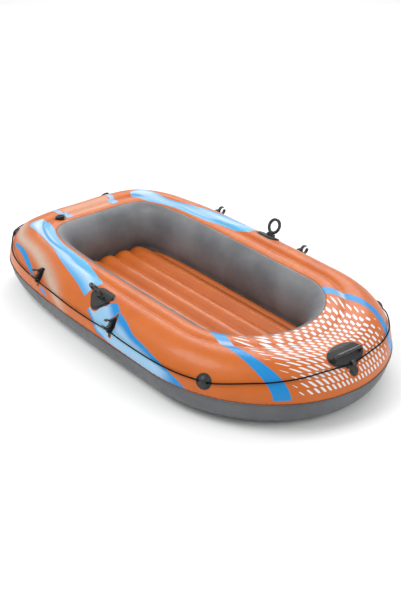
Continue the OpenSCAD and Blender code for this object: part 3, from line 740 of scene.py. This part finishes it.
def floor_grid():
    """Rows of points that run forward from the stern edge, in plan, and their distance from the edge."""
    t = np.radians(np.linspace(0, 360, 721))
    ox, oy = outer_edge(t)
    cx, cy = cockpit_edge(t)
    share = 1 + (FLOOR_INSET + 0.001) / deck_span(t)
    outline = np.stack([ox + (cx - ox) * share, oy + (cy - oy) * share], -1)
    shares = np.concatenate([[-0.999, -0.99], np.linspace(-0.975, 0.975, 97), [0.99, 0.999]])
    y = outline[:, 1].max() * shares
    port = outline[outline[:, 1] >= -1e-6][:361]
    widest = port[:, 1].argmax()
    bow_x = np.interp(np.abs(y), port[:widest + 1, 1], port[:widest + 1, 0])
    stern_x = np.interp(np.abs(y), port[widest:][::-1, 1], port[widest:][::-1, 0])
    even = np.linspace(0, 1, 120)
    closer_at_ends = (1 - np.cos(math.pi * even)) / 2
    yy, ff = np.meshgrid(y, 0.5 * closer_at_ends + 0.5 * even, indexing="ij")
    xx = stern_x[:, None] + (bow_x - stern_x)[:, None] * ff
    flat = np.stack([xx.ravel(), yy.ravel()], -1)
    return xx, yy, distance_to(flat, outline[::3]).reshape(xx.shape)


def floor_height(x, y, inset):
    """Ribs that run fore and aft and round off at the floor's edge, with gathers along their welds."""
    pitch = 2 * (HALF_W - SIDE_DECK - FLOOR_INSET) / (RIBS + 1)
    rib_half = (pitch - WELD_W) / 2
    rib_r = (rib_half ** 2 + RIB_DIP ** 2) / (2 * RIB_DIP)
    off = np.abs((y + pitch / 2) % pitch - pitch / 2)
    crown = FLOOR_H - rib_r + np.sqrt(rib_r ** 2 - np.clip(off, 0, rib_half) ** 2)
    rounding = np.sqrt(1 - (1 - np.clip(inset / FLOOR_END_ROUND, 0, 1)) ** 2)
    wave = np.abs(np.sin(math.pi * x / FLOOR_GATHER_PITCH + y * 40)) ** 3
    gathers = np.exp(-((off - rib_half) / 0.010) ** 2) * wave
    z = FLOOR_EDGE_Z + (crown - FLOOR_EDGE_Z) * rounding
    z -= (0.0007 * gathers + 0.0005 * np.sin(x * 31 + y * 9)) * rounding
    return np.minimum(z, FLOOR_H)


def with_skirt(points, foot_z):
    """Points and faces of a grid whose rim runs straight down to foot_z."""
    rows, columns = points.shape[:2]
    verts = points.reshape(-1, 3)
    last = (rows - 1) * columns
    rim = [*range(0, last, columns), *range(last, last + columns - 1),
           *range(last + columns - 1, columns - 1, -columns), *range(columns - 1, 0, -1)]
    foot = verts[rim].copy()
    foot[:, 2] = foot_z
    base, n = len(verts), len(rim)
    faces = [tuple(quad) for quad in grid_faces(rows, columns)[:, ::-1]]
    faces += [(rim[k], base + k, base + (k + 1) % n, rim[(k + 1) % n]) for k in range(n)]
    return np.vstack([verts, foot]), faces


def ribbed_floor(material):
    x, y, inset = floor_grid()
    verts, faces = with_skirt(np.stack([x, y, floor_height(x, y, inset)], -1), FLOOR_FOOT_Z)
    made = mesh_object("ribbed_floor_film", verts, faces, material)
    recalculate(made)
    thicken(made)
    return place(made, "floor_film", "floor_top_sheet")


# ---- Camera, light and floor ----
TARGET = Vector((0, 0, 0.14))
AZIMUTH, ELEVATION, DISTANCE = 51.16, 28.09, 5.399
LENS, SHIFT_X, SHIFT_Y = 73.75, 0.0077, -0.0097


def camera():
    data = bpy.data.cameras.new("camera")
    data.lens = LENS
    data.sensor_width = 36
    data.shift_x, data.shift_y = SHIFT_X, SHIFT_Y
    made = bpy.data.objects.new("camera", data)
    bpy.context.collection.objects.link(made)
    a, e = math.radians(AZIMUTH), math.radians(ELEVATION)
    back = Vector((math.sin(a) * math.cos(e), -math.cos(a) * math.cos(e), math.sin(e)))
    made.location = TARGET + DISTANCE * back
    made.rotation_euler = (-back).to_track_quat("-Z", "Y").to_euler()
    bpy.context.scene.camera = made


def area_light(name, place_at, size, power):
    data = bpy.data.lights.new(name, "AREA")
    data.shape = "RECTANGLE"
    data.size, data.size_y = size
    data.energy = power
    made = bpy.data.objects.new(name, data)
    bpy.context.collection.objects.link(made)
    made.location = place_at
    made.rotation_euler = (TARGET - Vector(place_at)).to_track_quat("-Z", "Y").to_euler()


def studio():
    area_light("key", (-1.0, -3.0, 4.2), (3.2, 2.2), 150)
    area_light("fill", (4.5, 0.8, 3.0), (3.0, 2.5), 60)
    area_light("back", (-3.5, 3.5, 3.2), (3.6, 2.4), 80)
    area_light("strip", (-0.5, 2.2, 3.6), (4.5, 0.25), 60)
    world = bpy.data.worlds.new("studio")
    world.use_nodes = True
    world.node_tree.nodes["Background"].inputs["Color"].default_value = (1, 1, 1, 1)
    world.node_tree.nodes["Background"].inputs["Strength"].default_value = 0.7
    bpy.context.scene.world = world
    bpy.context.scene.view_settings.view_transform = "Standard"
    n = Nodes("pale_floor", 0.9, specular=0.1)
    n.done(n.mix(n.noise(3, 2), (0.90, 0.90, 0.90, 1), (0.93, 0.93, 0.93, 1)))
    size, low = 40, -0.0005
    corners = [(-size, -size, low), (size, -size, low), (size, size, low), (-size, size, low)]
    mesh_object("studio_floor", corners, [(0, 1, 2, 3)], n.material)


# ---- The CAD nodes that keep their shapes ----
def finish_nodes(materials):
    rules = [("_flap", "flap"), ("rowlock_ring", "ring"), ("bow_handle_bar", "ring"), ("valve_", "valve"),
             ("hull_bottom", "grey"), ("cockpit_wall", "grey"), ("chamber_divider", "grey"),
             ("floor_bottom", "grey"), ("floor_webs", "floor"), ("floor_top", "floor"), ("hull_top", "grey")]
    for name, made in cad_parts.items():
        kind = next((material for part, material in rules if part in name), "moulding")
        made.data.materials.clear()
        made.data.materials.append(materials[kind])


camera()
cord = braided_cord()
grab_rope(cord)
rope_knot(cord)
grey = grey_vinyl("grey_vinyl", GREY, GREY_DEEP)
orange_floor = floor_vinyl()
top_film(printed_vinyl())
bottom_film(grey)
wall_film(grey_vinyl("wall_vinyl", GREY_LIGHT, GREY))
weld_flange(grey)
ribbed_floor(orange_floor)
finish_nodes({"flap": soft_disc(), "ring": moulded("hard_moulding", 0.30, 260, coat=0.3),
              "valve": moulded("valve_moulding", 0.42, 420), "grey": grey, "floor": orange_floor,
              "moulding": moulded("soft_moulding", 0.46, 520)})
studio()
